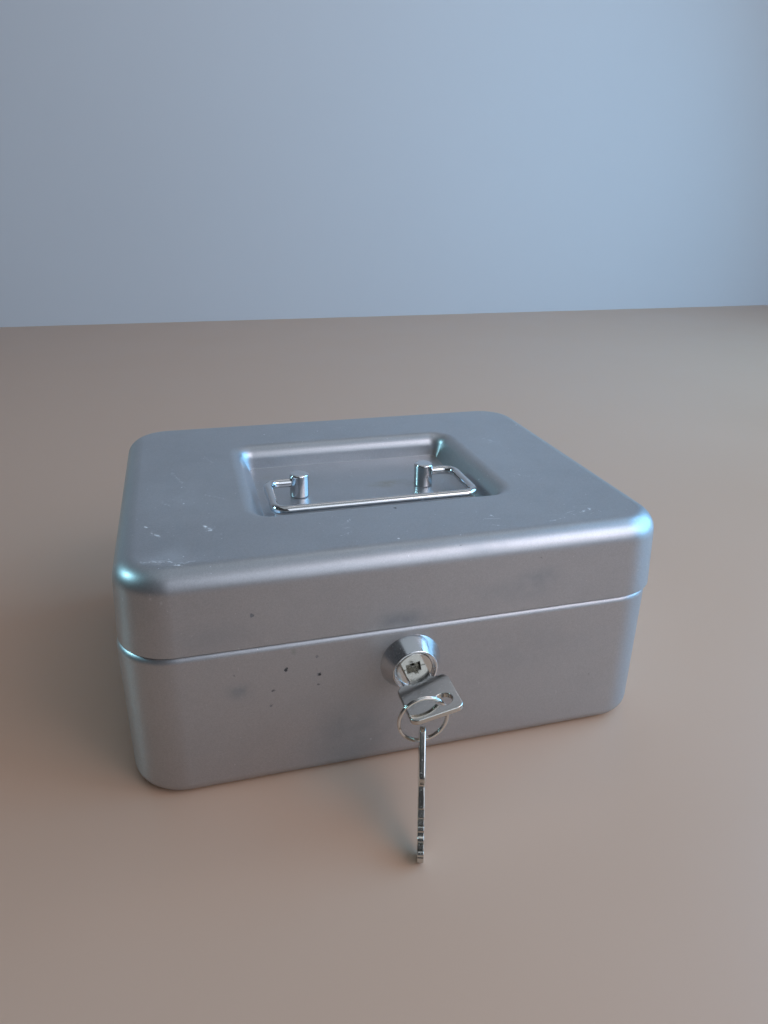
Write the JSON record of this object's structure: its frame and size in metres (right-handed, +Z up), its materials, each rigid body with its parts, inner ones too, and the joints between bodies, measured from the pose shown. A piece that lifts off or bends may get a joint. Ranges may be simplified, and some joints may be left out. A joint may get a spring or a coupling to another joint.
{
  "type": "cash box",
  "caption": "Small steel cash box with a hinged lid, a wire bail handle sunk in the lid top, a wafer lock with its key, a spare key on a split ring, and a coin tray inside.",
  "frame": {"origin": "centre of the flat underside of the base", "axes": "+X to the right along the front, +Y from the front to the rear, +Z up"},
  "size_m": [0.2, 0.2162, 0.0865],
  "materials": {
    "silver_paint": "satin silver metallic paint, scuffed and dusty",
    "chrome": "bright chrome plate",
    "nickel": "bright nickel plate with light wear",
    "zinc": "zinc plated steel",
    "brass": "bare brass",
    "tray_plastic": "moulded matt black plastic"
  },
  "bodies": {
    "base": {"base_shell": "silver_paint", "hinge_leaf_base_left": "silver_paint", "hinge_leaf_base_right": "silver_paint", "hinge_pin_left": "zinc", "hinge_pin_right": "zinc", "hinge_rivets_base": "zinc", "lock_housing": "chrome", "lock_nut": "zinc", "lock_washer": "zinc"},
    "lid": {"lid_shell": "silver_paint", "hinge_leaf_lid_left": "silver_paint", "hinge_leaf_lid_right": "silver_paint", "hinge_rivets_lid": "zinc", "handle_post_left": "chrome", "handle_post_right": "chrome", "handle_screws": "zinc", "handle_washers": "zinc", "lid_catch": "zinc"},
    "bail": {"handle_bail": "chrome"},
    "plug": {"lock_plug": "nickel", "lock_wafers": "brass", "lock_cam": "zinc", "cam_screw": "zinc"},
    "key": {"lock_key": "nickel"},
    "ring": {"key_ring": "nickel"},
    "spare": {"spare_key": "nickel"},
    "tray": {"coin_tray": "tray_plastic"}
  },
  "joints": [
    {"name": "lid_hinge", "type": "hinge", "parent": "base", "child": "lid", "pos_m": [0, 0.0828, 0.0572], "axis": [-1, 0, 0], "range_deg": [0, 104]},
    {"name": "handle_swing", "type": "hinge", "parent": "lid", "child": "bail", "pos_m": [0, 0, 0.0826], "axis": [-1, 0, 0], "range_deg": [0, 180]},
    {"name": "lock_turn", "type": "hinge", "parent": "base", "child": "plug", "pos_m": [-0.002, -0.07, 0.0425], "axis": [0, 1, 0], "range_deg": [0, 90]},
    {"name": "key_withdraw", "type": "slide", "parent": "plug", "child": "key", "axis": [0, -1, 0], "range_m": [0, 0.03]},
    {"name": "ring_swing", "type": "hinge", "parent": "key", "child": "ring", "pos_m": [-0.00617, -0.1048, 0.04167], "axis": [0.981, 0, 0.1942], "range_deg": [-20, 20]},
    {"name": "spare_key_swing", "type": "hinge", "parent": "ring", "child": "spare", "pos_m": [-0.0054, -0.1048, 0.02955], "axis": [0.9539, -0.3, 0], "range_deg": [-30, 40]},
    {"name": "tray_lift", "type": "slide", "parent": "base", "child": "tray", "axis": [0, 0, 1], "range_m": [0, 0.0045]}
  ]
}
